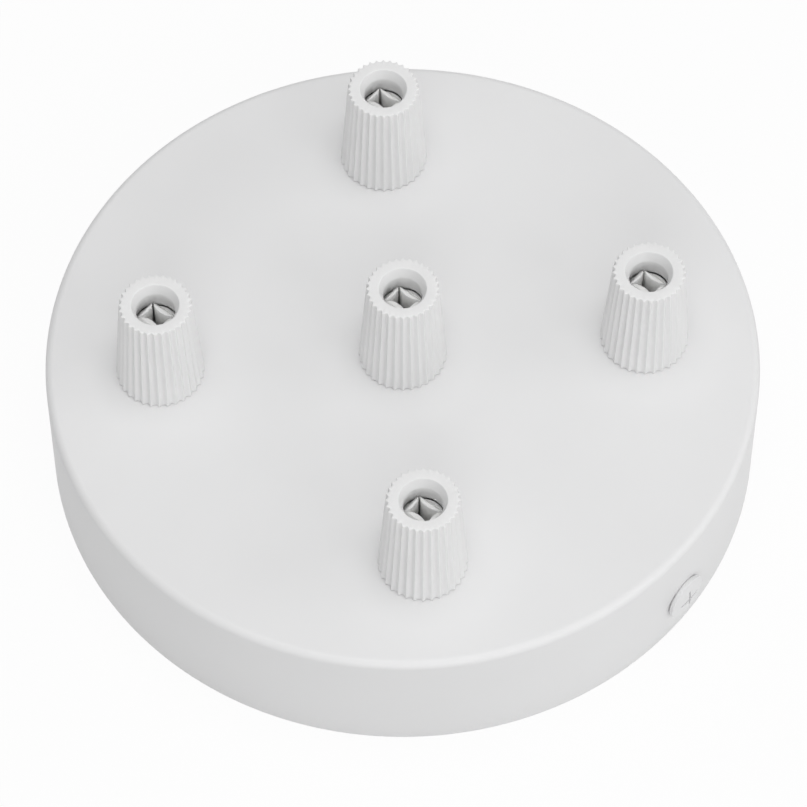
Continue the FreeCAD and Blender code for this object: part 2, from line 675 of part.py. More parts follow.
def make_block(doc):
    """Moulded terminal block: three barrels with two screw chimneys each, joined by a web."""
    body = new_body(doc, "terminal_block")
    first_pole = "-Sizes.pole_pitch"
    web_sketch = new_sketch(body, "web_outline", "XY_Plane")
    draw_box(web_sketch, "Sizes.pole_pitch + Sizes.barrel_radius", "Sizes.block_web_depth / 2")
    pad(body, "web", web_sketch, "Sizes.block_web_height")
    barrel_sketch = new_sketch(body, "barrel_outline", "XZ_Plane")
    draw_circle(barrel_sketch, "Sizes.barrel_radius", first_pole, "Sizes.barrel_height")
    barrel = pad(body, "barrel", barrel_sketch, "Sizes.block_depth", both_sides=True)
    foot_sketch = new_sketch(body, "foot_outline", "XY_Plane")
    draw_box(foot_sketch, "Sizes.block_foot_width", "Sizes.block_depth / 2", first_pole)
    foot = pad(body, "foot", foot_sketch, "Sizes.barrel_height")
    chimney_sketch = new_sketch(body, "chimney_outline", "XY_Plane", "Sizes.barrel_height")
    for side in (-1, 1):
        draw_circle(
            chimney_sketch, "Sizes.chimney_radius", first_pole, f"{side} * Sizes.chimney_spacing / 2"
        )
    chimneys = pad(body, "chimneys", chimney_sketch, "Sizes.chimney_height - Sizes.barrel_height")
    doc.recompute()
    row_of(body, "poles", [barrel, foot, chimneys], "X_Axis", "2 * Sizes.pole_pitch", POLES)
    doc.recompute()
    volume = body.Shape.Volume
    seat = new_sketch(body, "screw_seat_outline", "XY_Plane", "Sizes.block_web_height")
    hole = new_sketch(body, "screw_hole_outline", "XY_Plane")
    for side in (-1, 1):
        place_x = f"{side} * Sizes.pole_pitch / 2"
        draw_circle(seat, "Sizes.block_head_radius + Sizes.hole_clearance", place_x, "0")
        draw_circle(hole, "Sizes.block_screw_radius + Sizes.hole_clearance", place_x, "0")
    pocket(body, "screw_seats", seat, forwards=True)
    screw_holes = pocket(body, "screw_holes", hole, forwards=True)
    cut_away(doc, body, volume, screw_holes)
    volume = body.Shape.Volume
    wire_sketch = new_sketch(body, "sleeve_bore_outline", "XZ_Plane")
    draw_circle(
        wire_sketch, "Sizes.sleeve_radius + Sizes.thread_clearance", first_pole, "Sizes.barrel_height"
    )
    bore = pocket(body, "sleeve_bore", wire_sketch, both_sides=True)
    screw_sketch = new_sketch(body, "chimney_bore_outline", "XY_Plane", "Sizes.barrel_height")
    for side in (-1, 1):
        draw_circle(
            screw_sketch, "Sizes.clamp_screw_radius + Sizes.chimney_clearance", first_pole,
            f"{side} * Sizes.chimney_spacing / 2",
        )
    shafts = pocket(body, "chimney_bores", screw_sketch, forwards=True)
    doc.recompute()
    bores = row_of(body, "pole_bores", [bore, shafts], "X_Axis", "2 * Sizes.pole_pitch", POLES)
    cut_away(doc, body, volume, bores)
    return body


def make_sleeve(doc, label):
    """Brass terminal: a tube along Y with two tapped holes in its top."""
    body = new_body(doc, label)
    ring = new_sketch(body, "ring", "XZ_Plane")
    draw_circle(ring, "Sizes.sleeve_radius")
    draw_circle(ring, "Sizes.wire_bore_radius")
    pad(body, "tube", ring, "Sizes.sleeve_length", both_sides=True)
    doc.recompute()
    volume = body.Shape.Volume
    taps = new_sketch(body, "taps_outline", "XY_Plane")
    for side in (-1, 1):
        draw_circle(
            taps, "Sizes.clamp_screw_radius + Sizes.thread_clearance", "0",
            f"{side} * Sizes.chimney_spacing / 2",
        )
    tapped = pocket(body, "taps", taps, forwards=True)
    cut_away(doc, body, volume, tapped)
    return body


def make_clamp_screw(doc, label):
    """Headless slotted screw, its tip at Z = 0."""
    body = new_body(doc, label)
    radius, length = "Sizes.clamp_screw_radius", "Sizes.clamp_screw_length"
    tip = "Sizes.clamp_screw_chamfer"
    turned = revolve(body, "turned", [
        ("0", "0"), (f"{radius} - {tip}", "0"), (radius, tip), (radius, length), ("0", length),
    ])
    doc.recompute()
    sketch = new_sketch(body, "driver_slot_outline", "XY_Plane", length)
    draw_box(sketch, f"2 * {radius}", "Sizes.driver_slot_width")
    slot = pocket(body, "driver_slot", sketch, "Sizes.driver_slot_depth")
    cut_away(doc, body, turned.Shape.Volume, slot)
    return body


def grip_places():
    """The centre grip, then the outer ones, as (x, y) expressions."""
    places = [("0", "0")]
    for index in range(OUTER_GRIPS):
        angle = f"((Sizes.grip_start_angle + {360 // OUTER_GRIPS * index}) * 1 deg)"
        x = f"Sizes.grip_circle_radius * cos({angle})"
        y = f"Sizes.grip_circle_radius * sin({angle})"
        places.append((x, y))
    return places


def make_grips(doc):
    """Five cord grips: stem, washer, lock nut and cap, each on its own place of the face."""
    pieces = []
    for number, (x, y) in enumerate(grip_places(), start=1):
        stem = make_stem(doc, f"grip_stem_{number}")
        place(stem, x, y, "Sizes.canopy_height")
        cap = make_cap(doc, f"grip_cap_{number}")
        place(cap, x, y, "Sizes.canopy_height + Sizes.cap_seat_gap")
        washer = make_washer(doc, f"grip_washer_{number}")
        place(washer, x, y, FACE_INSIDE)
        nut = make_nut(doc, f"grip_nut_{number}")
        place(nut, x, y, f"{FACE_INSIDE} - Sizes.washer_thickness")
        pieces += [stem, cap, washer, nut]
    return pieces


def make_side_screws(doc):
    """One screw through the wall into each turned-up end, its head seated on the wall."""
    screws = []
    for number, side in ((1, 1), (2, -1)):
        screw = make_pan_screw(doc, f"side_screw_{number}", "side")
        turn = FreeCAD.Rotation(FreeCAD.Vector(0, 1, 0), 90 * side)
        place(screw, f"{side} * Sizes.canopy_radius", "0", "Sizes.side_screw_height", turn)
        screws.append(screw)
    return screws


def make_earth_terminal(doc):
    """Wire clamp and screw on the strap's drawn collar."""
    collar_top = f"{PLATE_TOP} + Sizes.earth_collar_height"
    clamp = make_wire_clamp(doc)
    place(clamp, "Sizes.earth_place", "0", collar_top)
    screw = make_pan_screw(doc, "earth_screw", "earth")
    place(screw, "Sizes.earth_place", "0", f"{collar_top} + Sizes.earth_washer_thickness")
    return [clamp, screw]


def make_terminals(doc):
    """The block, its two fixing screws, and a brass sleeve and two clamp screws for each pole."""
    block = make_block(doc)
    place(block, "Sizes.block_place", "0", PLATE_TOP)
    pieces = [block]
    for number, side in ((1, -1), (2, 1)):
        screw = make_pan_screw(doc, f"block_screw_{number}", "block")
        x = f"Sizes.block_place + {side} * Sizes.pole_pitch / 2"
        place(screw, x, "0", f"{PLATE_TOP} + Sizes.block_web_height")
        pieces.append(screw)
    axis_height = f"{PLATE_TOP} + Sizes.barrel_height"
    tip_height = f"{axis_height} + Sizes.wire_bore_radius + Sizes.clamp_screw_lift"
    for pole in range(POLES):
        x = f"Sizes.block_place + {pole - 1} * Sizes.pole_pitch"
        sleeve = make_sleeve(doc, f"terminal_sleeve_{pole + 1}")
        place(sleeve, x, "0", axis_height)
        pieces.append(sleeve)
        for letter, side in (("a", -1), ("b", 1)):
            screw = make_clamp_screw(doc, f"terminal_screw_{pole + 1}{letter}")
            place(screw, x, f"{side} * Sizes.chimney_spacing / 2", tip_height)
            pieces.append(screw)
    return pieces


def check_objects(doc, pieces):
    """Stop if a feature failed or a piece isn't one valid solid."""
    for item in doc.Objects:
        if "Invalid" in item.State or "Error" in item.State:
            raise ValueError(f"{item.Name} failed: {item.State}")
    for piece in pieces:
        if piece.Shape.isNull() or not piece.Shape.isValid() or len(piece.Shape.Solids) != 1:
            raise ValueError(f"{piece.Label} is not one valid solid")


def main():
    doc = FreeCAD.newDocument("ceiling_rose")
    make_sheet(doc)
    pieces = [make_canopy(doc), make_strap(doc)]
    pieces += make_side_screws(doc)
    pieces += make_grips(doc)
    pieces += make_earth_terminal(doc)
    pieces += make_terminals(doc)
    doc.recompute()
    check_objects(doc, pieces)
    os.makedirs("parts", exist_ok=True)
    for piece in pieces:
        piece.Shape.exportStep(f"parts/{piece.Label}.step")


main()
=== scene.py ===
"""Looks of a five-way ceiling rose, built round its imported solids.

Metres, in the frame of the solids: the rose stands on its rim at Z = 0, its cord grips point along
+Z and its side screws lie on the X axis. Sizes of the pieces are given in millimetres.
"""

import json
import logging
import math
from dataclasses import dataclass
from enum import Enum
from typing import Any, Callable, Optional, Sequence, Union

import bmesh
import bpy
import numpy as np
from mathutils import Matrix, Vector


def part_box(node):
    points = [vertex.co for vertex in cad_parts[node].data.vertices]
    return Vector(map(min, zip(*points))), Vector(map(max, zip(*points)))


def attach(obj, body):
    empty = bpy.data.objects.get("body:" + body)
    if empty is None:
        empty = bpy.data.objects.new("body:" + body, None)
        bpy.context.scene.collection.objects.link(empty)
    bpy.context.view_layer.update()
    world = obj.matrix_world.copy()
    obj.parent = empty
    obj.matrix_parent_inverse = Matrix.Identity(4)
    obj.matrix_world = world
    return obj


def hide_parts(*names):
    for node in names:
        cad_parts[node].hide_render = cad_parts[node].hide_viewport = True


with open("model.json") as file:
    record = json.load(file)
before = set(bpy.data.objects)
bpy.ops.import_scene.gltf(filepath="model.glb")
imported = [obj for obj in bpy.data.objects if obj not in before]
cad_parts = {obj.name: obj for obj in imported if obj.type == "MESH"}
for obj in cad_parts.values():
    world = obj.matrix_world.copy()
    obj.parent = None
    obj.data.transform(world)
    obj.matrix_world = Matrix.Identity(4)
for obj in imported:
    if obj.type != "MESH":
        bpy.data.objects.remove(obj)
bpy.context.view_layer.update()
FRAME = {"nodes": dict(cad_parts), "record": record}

LOG = logging.getLogger("ceiling_rose")
MM = 0.001
MICRON = 1e-6
TURN = 2.0 * math.pi
GRIPS = 5

# Vertices closer than this, in metres, become one
MERGE_DISTANCE = 1e-7

# Radii this close count as equal, or as near enough to belong to one side, in millimetres
SAME_RADIUS = 1e-6
NEAR_RADIUS = 0.01

# Longest step along a thread's side, in millimetres
THREAD_STEP = 0.11

# A rule that gives the radius from the profile's radius, its height and the angle
RadiusRule = Callable[[np.ndarray, np.ndarray, np.ndarray], np.ndarray]


# Node trees written as expressions


class Signal:
    """A number in a node tree, on which Python's operators add Math nodes."""

    def __init__(self, tree: "Tree", socket: bpy.types.NodeSocket) -> None:
        """Wrap an output socket.

        Args:
            tree: the tree that the socket belongs to.
            socket: the output that carries the value.
        """
        self.tree = tree
        self.socket = socket

    def maths(self, operation: str, first: Any, second: Any) -> "Signal":
        """Add a Math node.

        Args:
            operation: the node's operation.
            first: its first input.
            second: its second input.

        Returns:
            The node's result.
        """
        return self.tree.node("ShaderNodeMath", {"operation": operation}, {0: first, 1: second})

    def __add__(self, other: Any) -> "Signal":
        """Sum of two values."""
        return self.maths("ADD", self, other)

    __radd__ = __add__

    def __mul__(self, other: Any) -> "Signal":
        """Product of two values."""
        return self.maths("MULTIPLY", self, other)

    def __sub__(self, other: Any) -> "Signal":
        """Difference of two values."""
        return self.maths("SUBTRACT", self, other)


class Tree:
    """A material with one Principled shader, whose nodes are added by name."""

    def __init__(self, name: str) -> None:
        """Start an empty material.

        Args:
            name: the material's name.
        """
        self.material = bpy.data.materials.new(name)
        self.material.use_nodes = True
        self.nodes = self.material.node_tree.nodes
        self.nodes.clear()
        self.shader = self.nodes.new("ShaderNodeBsdfPrincipled")
        output = self.nodes.new("ShaderNodeOutputMaterial")
        self.join(self.shader.outputs["BSDF"], output.inputs["Surface"])

    def join(self, source: Any, target: bpy.types.NodeSocket) -> None:
        """Link a value to an input, or write it there.

        Args:
            source: a Signal, an output socket, a number or a colour.
            target: the input that takes it.
        """
        if isinstance(source, Signal):
            source = source.socket
        if isinstance(source, bpy.types.NodeSocket):
            self.material.node_tree.links.new(source, target)
        else:
            target.default_value = source

    def node(self, kind: str, settings: Optional[dict] = None, sockets: Optional[dict] = None,
             out: Union[int, str] = 0) -> Signal:
        """Add a node.

        Args:
            kind: the node's type.
            settings: its properties.
            sockets: the values or links of its inputs, by name or number.
            out: the output that is wanted.

        Returns:
            That output.
        """
        made = self.nodes.new(kind)
        for key, value in (settings or {}).items():
            setattr(made, key, value)
        for key, value in (sockets or {}).items():
            self.join(value, made.inputs[key])
        return Signal(self, made.outputs[out])

    def place(self, stretch: Sequence[float] = (1.0, 1.0, 1.0)) -> Signal:
        """Object coordinates in millimetres.

        Args:
            stretch: how much finer a pattern gets along each axis.

        Returns:
            The coordinates.
        """
        where = self.node("ShaderNodeTexCoord", out="Object")
        sockets = {"Vector": where, "Scale": tuple(value / MM for value in stretch)}
        return self.node("ShaderNodeMapping", {"vector_type": "POINT"}, sockets)

    def noise(self, where: Signal, size: float, detail: float, roughness: float = 0.5) -> Signal:
        """Cloudy noise.

        Args:
            where: coordinates in millimetres.
            size: width of a cloud in millimetres.
            detail: finer layers.
            roughness: share of the finer layers.

        Returns:
            A value about 0.5.
        """
        sockets = {"Vector": where, "Scale": 1.0 / size, "Detail": detail, "Roughness": roughness}
        return self.node("ShaderNodeTexNoise", {"noise_dimensions": "3D"}, sockets, "Fac")

    def blend(self, amount: Any, first: Any, second: Any) -> Signal:
        """Mix two colours.

        Args:
            amount: 0 gives the first colour and 1 the second.
            first: a colour.
            second: a colour.

        Returns:
            The mixed colour.
        """
        settings = {"data_type": "RGBA", "blend_type": "MIX", "clamp_factor": True}
        return self.node("ShaderNodeMix", settings, {0: amount, 6: first, 7: second}, 2)

    def limit(self, value: Signal, low: float, high: float) -> Signal:
        """Stretch a band of a value onto 0 to 1, with soft ends.

        Args:
            value: the value.
            low: start of its band.
            high: end of its band.

        Returns:
            The stretched value.
        """
        sockets = {"Value": value, "From Min": low, "From Max": high, "To Min": 0.0, "To Max": 1.0}
        return self.node("ShaderNodeMapRange", {"interpolation_type": "SMOOTHSTEP"}, sockets)

    def relief(self, height: Signal, microns: float) -> None:
        """Let a value from 0 to 1 raise the surface.

        Args:
            height: the value.
            microns: how high 1 stands.
        """
        sockets = {"Strength": 1.0, "Distance": microns * MICRON, "Height": height}
        self.join(self.node("ShaderNodeBump", None, sockets), self.shader.inputs["Normal"])

    def set(self, **inputs: Any) -> None:
        """Set the shader's inputs, with _ for a space in their names."""
        for key, value in inputs.items():
            self.join(value, self.shader.inputs[key.replace("_", " ")])


def grey(value: float) -> tuple:
    """A grey as an opaque colour."""
    return (value, value, value, 1.0)


def tinted(colour: Sequence[float], factor: float = 1.0) -> tuple:
    """A colour times a factor, opaque."""
    return tuple(channel * factor for channel in colour) + (1.0,)


# Finishes


class Slot(Enum):
    """The record's material slots."""

    COAT = "white_coat"
    CAP = "cap_plastic"
    STEM = "stem_nylon"
    SCREW_PAINT = "white_screw"
    STRAP = "strap_zinc"
    NUT = "nut_zinc"
    SCREW = "screw_zinc"
    BRASS = "terminal_brass"
    BLOCK = "block_plastic"


@dataclass(frozen=True)
class PowderCoat:
    """Baked white powder: satin, with the faint orange peel that it flows out to."""

    slot: Slot
    colour: tuple = (0.80, 0.80, 0.803)
    roughness: float = 0.45
    peel_width: float = 1.3
    peel_microns: float = 9.0
    gloss: float = 0.35

    def material(self) -> bpy.types.Material:
        """Build the material: cloudy tone, two widths of peel and a roughness that drifts too."""
        tree = Tree(self.slot.value)
        where = tree.place()
        broad = tree.noise(where, 22.0, 2.0)
        peel = tree.noise(where, self.peel_width, 2.0, 0.4)
        grain = tree.noise(where, self.peel_width * 0.22, 2.0)
        tone = tree.limit(broad, 0.3, 0.7)
        tree.set(
            Base_Color=tree.blend(tone, tinted(self.colour, 0.992), tinted(self.colour, 1.006)),
            Roughness=self.roughness + (broad - 0.5) * 0.08 + (grain - 0.5) * 0.06,
            Specular_IOR_Level=self.gloss,
        )
        tree.relief(peel * 0.75 + grain * 0.25, self.peel_microns)
        return tree.material


@dataclass(frozen=True)
class MouldedPlastic:
    """Injection-moulded plastic: eroded mould texture and a slow drift of tone along the flow."""

    slot: Slot
    colour: tuple
    roughness: float
    texture_width: float = 0.16
    texture_microns: float = 3.5
    scatter: float = 0.0
    depth: float = 0.6
    gloss: float = 0.35

    def material(self) -> bpy.types.Material:
        """Build the material."""
        tree = Tree(self.slot.value)
        flow = tree.noise(tree.place((1.0, 1.0, 0.35)), 5.0, 2.0)
        texture = tree.noise(tree.place(), self.texture_width, 3.0, 0.6)
        tone = tree.limit(flow, 0.3, 0.7)
        tree.set(
            Base_Color=tree.blend(tone, tinted(self.colour, 0.988), tinted(self.colour, 1.008)),
            Roughness=self.roughness + (flow - 0.5) * 0.10 + (texture - 0.5) * 0.10,
            Specular_IOR_Level=self.gloss,
            Subsurface_Weight=self.scatter,
            Subsurface_Radius=(1.0, 1.0, 1.0),
            Subsurface_Scale=self.depth * MM,
        )
        tree.relief(texture, self.texture_microns)
        return tree.material


@dataclass(frozen=True)
class PlatedMetal:
    """Plated or drawn metal: fine lines along the piece, a film of slightly uneven colour."""

    slot: Slot
    colour: tuple
    film: tuple
    roughness: float
    lines: tuple = (1.0, 1.0, 1.0)
    line_microns: float = 4.0

    def material(self) -> bpy.types.Material:
        """Build the material: drawn lines, blotches of film and small pits."""
        tree = Tree(self.slot.value)
        where = tree.place()
        drawn = tree.noise(tree.place(self.lines), 0.7, 4.0, 0.65)
        blotch = tree.limit(tree.noise(where, 4.5, 4.0, 0.6), 0.35, 0.68)
        pits = tree.limit(tree.noise(where, 0.35, 2.0), 0.68, 0.8)
        base = tree.blend(blotch, tinted(self.colour), tinted(self.film))
        tree.set(
            Base_Color=tree.blend(pits * 0.5, base, tinted(self.colour, 0.6)),
            Metallic=1.0,
            Roughness=self.roughness + (drawn - 0.5) * 0.25 + blotch * 0.06 + pits * 0.1,
        )
        tree.relief(drawn - pits * 0.5, self.line_microns)
        return tree.material


FINISHES = {
    finish.slot: finish
    for finish in (
        PowderCoat(Slot.COAT),
        PowderCoat(Slot.SCREW_PAINT, (0.78, 0.78, 0.785), 0.38, 0.8, 6.0),
        MouldedPlastic(Slot.CAP, (0.82, 0.82, 0.82), 0.5, scatter=0.25, depth=0.7),
        MouldedPlastic(Slot.STEM, (0.87, 0.87, 0.86), 0.4, 0.3, 2.0, scatter=0.7, depth=1.5),
        MouldedPlastic(Slot.BLOCK, (0.80, 0.79, 0.74), 0.42, 0.22, 4.0),
        PlatedMetal(Slot.STRAP, (0.62, 0.63, 0.65), (0.66, 0.65, 0.60), 0.34, (0.08, 1.0, 1.0)),
        PlatedMetal(Slot.NUT, (0.66, 0.67, 0.69), (0.68, 0.67, 0.62), 0.30),
        PlatedMetal(Slot.SCREW, (0.60, 0.61, 0.63), (0.64, 0.63, 0.58), 0.28),
        PlatedMetal(Slot.BRASS, (0.78, 0.60, 0.30), (0.70, 0.52, 0.26), 0.28, (1.0, 0.08, 1.0)),
    )
}


class Workshop:
    """Makes the materials once and turns finished meshes into pieces of the rose."""

    def __init__(self) -> None:
        """Build every finish."""
        self.materials = {slot: finish.material() for slot, finish in FINISHES.items()}
        self.count = 0

    def dress(self, obj: bpy.types.Object, slot: Slot) -> None:
        """Give an object a finish as its only material.

        Args:
            obj: a piece or one of the solids.
            slot: the finish.
        """
        obj.data.materials.clear()
        obj.data.materials.append(self.materials[slot])

    def add(self, mesh: bpy.types.Mesh, slot: Slot, body: str, *nodes: str) -> None:
        """Put a finished mesh in place of solids.

        Args:
            mesh: the piece's mesh, in metres and in place.
            slot: its finish.
            body: the body that carries it.
            nodes: the solids that it stands for.
        """
        obj = bpy.data.objects.new(mesh.name, mesh)
        bpy.context.scene.collection.objects.link(obj)
        self.dress(obj, slot)
        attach(obj, body)
        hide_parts(*nodes)
        self.count += 1
        LOG.info("piece %s on %s: %d faces", obj.name, body, len(mesh.polygons))


# Surfaces


@dataclass
class Shell:
    """Vertices and faces of a mesh under construction."""

    points: np.ndarray
    faces: list

    @staticmethod
    def ring_grid(grid: np.ndarray, closed: bool = True) -> "Shell":
        """Faces on a grid of points whose columns go round a ring.

        Args:
            grid: points of shape (rows, columns, 3), columns running anticlockwise about the axis
                and rows running so that the surface's outside lies to the right of the profile.
            closed: whether the last row joins the first.

        Returns:
            The shell: quad k of row i joins columns k and k + 1, the last column the first.
        """
        rows, columns = grid.shape[:2]
        bands = rows if closed else rows - 1
        row, column = np.meshgrid(np.arange(bands), np.arange(columns), indexing="ij")
        below, beside = (row + 1) % rows, (column + 1) % columns
        quads = np.stack(
            [row * columns + column, row * columns + beside, below * columns + beside,
             below * columns + column], axis=-1,
        )
        return Shell(grid.reshape(-1, 3), quads.reshape(-1, 4).tolist())

    def moved(self, place: Sequence[float]) -> "Shell":
        """This shell shifted by a vector in millimetres."""
        return Shell(self.points + np.asarray(place, float), self.faces)

    def mesh(self, name: str, sharp_degrees: float = 35.0) -> bpy.types.Mesh:
        """Turn the shell into a mesh in metres, facing outwards.

        Args:
            name: the mesh's name.
            sharp_degrees: edges that turn by more are shaded as edges.

        Returns:
            The mesh.
        """
        mesh = bpy.data.meshes.new(name)
        mesh.from_pydata(self.points * MM, [], self.faces)
        mesh.validate()
        tidy_mesh(mesh, sharp_degrees)
        return mesh


def tidy_mesh(mesh: bpy.types.Mesh, sharp_degrees: float) -> None:
    """Merge doubles, turn the faces outwards and set the shading.

    Args:
        mesh: the mesh.
        sharp_degrees: edges that turn by more are shaded as edges.
    """
    work = bmesh.new()
    work.from_mesh(mesh)
    bmesh.ops.remove_doubles(work, verts=work.verts, dist=MERGE_DISTANCE)
    bmesh.ops.recalc_face_normals(work, faces=work.faces)
    work.to_mesh(mesh)
    work.free()
    mesh.polygons.foreach_set("use_smooth", np.ones(len(mesh.polygons), bool))
    mesh.set_sharp_from_angle(angle=math.radians(sharp_degrees))
    mesh.update()


def smooth_profile(corners: Sequence[tuple], steps: int = 4) -> np.ndarray:
    """A closed profile of (radius, height) points whose corners are rounded.

    Args:
        corners: (radius, height, rounding) of each corner in order.
        steps: pieces in each rounding.

    Returns:
        Points of shape (count, 2). Each corner with a rounding becomes a quadratic curve that
        starts and ends the rounding's length away from it along its two sides.
    """
    at = np.array([corner[:2] for corner in corners], float)
    before, after = np.roll(at, 1, axis=0), np.roll(at, -1, axis=0)
    back, ahead = before - at, after - at
    back /= np.linalg.norm(back, axis=1, keepdims=True)
    ahead /= np.linalg.norm(ahead, axis=1, keepdims=True)
    rows = []
    for index, corner in enumerate(corners):
        size = corner[2]
        if size <= 0.0:
            rows.append(at[index:index + 1])
            continue
        part = np.linspace(0.0, 1.0, steps + 1)[:, None]
        start, end = at[index] + back[index] * size, at[index] + ahead[index] * size
        rows.append((1 - part) ** 2 * start + 2 * part * (1 - part) * at[index] + part ** 2 * end)
    return np.vstack(rows)


def refine(profile: np.ndarray, longest: float, inner: float, outer: float) -> np.ndarray:
    """Divide the sides of a closed profile whose middles lie in a band of radii.

    Args:
        profile: points of shape (count, 2).
        longest: longest piece that such a side keeps.
        inner: least radius of the band.
        outer: greatest radius of the band.

    Returns:
        The profile with the new points in place.
    """
    following = np.roll(profile, -1, axis=0)
    lengths = np.linalg.norm(following - profile, axis=1)
    middle = (profile[:, 0] + following[:, 0]) / 2
    chosen = (middle >= inner) & (middle <= outer)
    counts = np.where(chosen, np.ceil(lengths / longest), 1).astype(int)
    counts = np.maximum(counts, 1)
    start = np.repeat(profile, counts, axis=0)
    step = np.repeat((following - profile) / counts[:, None], counts, axis=0)
    order = np.concatenate([np.arange(count) for count in counts])
    return start + step * order[:, None]


def turned(profile: np.ndarray, columns: int, change: Optional[RadiusRule] = None) -> np.ndarray:
    """Carry a profile round the Z axis.

    Args:
        profile: (radius, height) points, shape (rows, 2).
        columns: steps round the axis.
        change: gives the radius from the profile's radius, its height and the angle.

    Returns:
        Points of shape (rows, columns, 3): x = r cos a, y = r sin a, z = height.
    """
    angle = np.linspace(0.0, TURN, columns, endpoint=False)[None, :]
    radius = np.repeat(profile[:, :1], columns, axis=1)
    height = np.repeat(profile[:, 1:2], columns, axis=1)
    if change is not None:
        radius = change(radius, height, angle)
    return np.stack([radius * np.cos(angle), radius * np.sin(angle), height], axis=-1)


def triangle_wave(phase: np.ndarray) -> np.ndarray:
    """A wave of period 1: 1 at whole numbers, 0 half way between, straight flanks."""
    return np.abs(2.0 * (phase - np.floor(phase)) - 1.0)


def soft_wave(phase: np.ndarray, flat: float = 0.12, soft: float = 0.5) -> np.ndarray:
    """A triangle wave with flattened, rounded crests and roots.

    Args:
        phase: position in periods.
        flat: share of the height that is cut off at each end.
        soft: how much of a cosine is mixed in.

    Returns:
        Values from 0 at the roots to 1 at the crests.
    """
    straight = np.clip((triangle_wave(phase) - flat) / (1.0 - 2.0 * flat), 0.0, 1.0)
    rounded = 0.5 + 0.5 * np.cos(TURN * phase)
    return (1.0 - soft) * straight + soft * rounded


def fade(value: np.ndarray, start: float, end: float) -> np.ndarray:
    """A smooth step from 0 at start to 1 at end: 3 t squared less 2 t cubed."""
    part = np.clip((value - start) / (end - start), 0.0, 1.0)
    return part * part * (3.0 - 2.0 * part)


def centre_of(node: str) -> np.ndarray:
    """Middle of a solid's box in millimetres."""
    low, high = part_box(node)
    return np.array((low + high) / 2) / MM


def low_of(node: str) -> np.ndarray:
    """Lowest corner of a solid's box in millimetres."""
    return np.array(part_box(node)[0]) / MM


def high_of(node: str) -> np.ndarray:
    """Highest corner of a solid's box in millimetres."""
    return np.array(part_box(node)[1]) / MM


def height_of(node: str) -> float:
    """Height of a solid's box in millimetres."""
    return high_of(node)[2] - low_of(node)[2]


def standing(grid: np.ndarray, node: str) -> Shell:
    """A ring grid's shell, set on the foot of a solid's box about the box's middle."""
    centre = centre_of(node)
    return Shell.ring_grid(grid).moved((centre[0], centre[1], low_of(node)[2]))


def softened(mesh: bpy.types.Mesh, width: float, sharp_degrees: float = 40.0) -> bpy.types.Mesh:
    """Break the edges of a mesh.

    Args:
        mesh: the mesh, which is changed.
        width: width of the broken edges in millimetres.
        sharp_degrees: edges that turn by more are broken.

    Returns:
        The mesh: loose triangles are merged, flat groups of them become one face each, and each
        sharp edge gets a round strip of two segments.
    """
    work = bmesh.new()
    work.from_mesh(mesh)
    bmesh.ops.remove_doubles(work, verts=work.verts, dist=MERGE_DISTANCE)
    bmesh.ops.dissolve_limit(
        work, angle_limit=math.radians(0.5), use_dissolve_boundaries=False, verts=work.verts,
        edges=work.edges,
    )
    limit = math.radians(sharp_degrees)
    edges = [edge for edge in work.edges if edge.is_manifold and edge.calc_face_angle(0.0) > limit]
    bmesh.ops.bevel(
        work, geom=edges, offset=width * MM, offset_type="OFFSET", segments=2, profile=0.5,
        affect="EDGES", clamp_overlap=True,
    )
    work.to_mesh(mesh)
    work.free()
    tidy_mesh(mesh, sharp_degrees * 0.8)
    return mesh


def copy_of(node: str, name: str) -> bpy.types.Mesh:
    """A solid's mesh under a new name."""
    mesh = FRAME["nodes"][node].data.copy()
    mesh.name = name
    return mesh


def cut_below(mesh: bpy.types.Mesh, height: float) -> None:
    """Take away what lies below a height, and close the cut.

    Args:
        mesh: the mesh, which is changed.
        height: the height in millimetres.
    """
    work = bmesh.new()
    work.from_mesh(mesh)
    bmesh.ops.remove_doubles(work, verts=work.verts, dist=MERGE_DISTANCE)
    everything = work.verts[:] + work.edges[:] + work.faces[:]
    cut = bmesh.ops.bisect_plane(
        work, geom=everything, plane_co=(0.0, 0.0, height * MM), plane_no=(0.0, 0.0, 1.0),
        clear_inner=True,
    )
    rim = [item for item in cut["geom_cut"] if isinstance(item, bmesh.types.BMEdge)]
    loops = bmesh.ops.edgeloop_fill(work, edges=rim)["faces"]
    if len(loops) == 2:
        join_rims(work, loops)
    work.to_mesh(mesh)
    work.free()


def join_rims(work: bmesh.types.BMesh, loops: Sequence[bmesh.types.BMFace]) -> None:
    """Turn two filled discs, one inside the other, into the ring between them.

    Args:
        work: the mesh that holds them.
        loops: the two discs.
    """
    edges = [edge for face in loops for edge in face.edges]
    bmesh.ops.delete(work, geom=list(loops), context="FACES_ONLY")
    bmesh.ops.bridge_loops(work, edges=edges)


def joined(first: bpy.types.Mesh, second: bpy.types.Mesh) -> bpy.types.Mesh:
    """Add the faces of a second mesh to a first one, which is changed and given back."""
    work = bmesh.new()
    work.from_mesh(first)
    work.from_mesh(second)
    work.to_mesh(first)
    work.free()
    return first


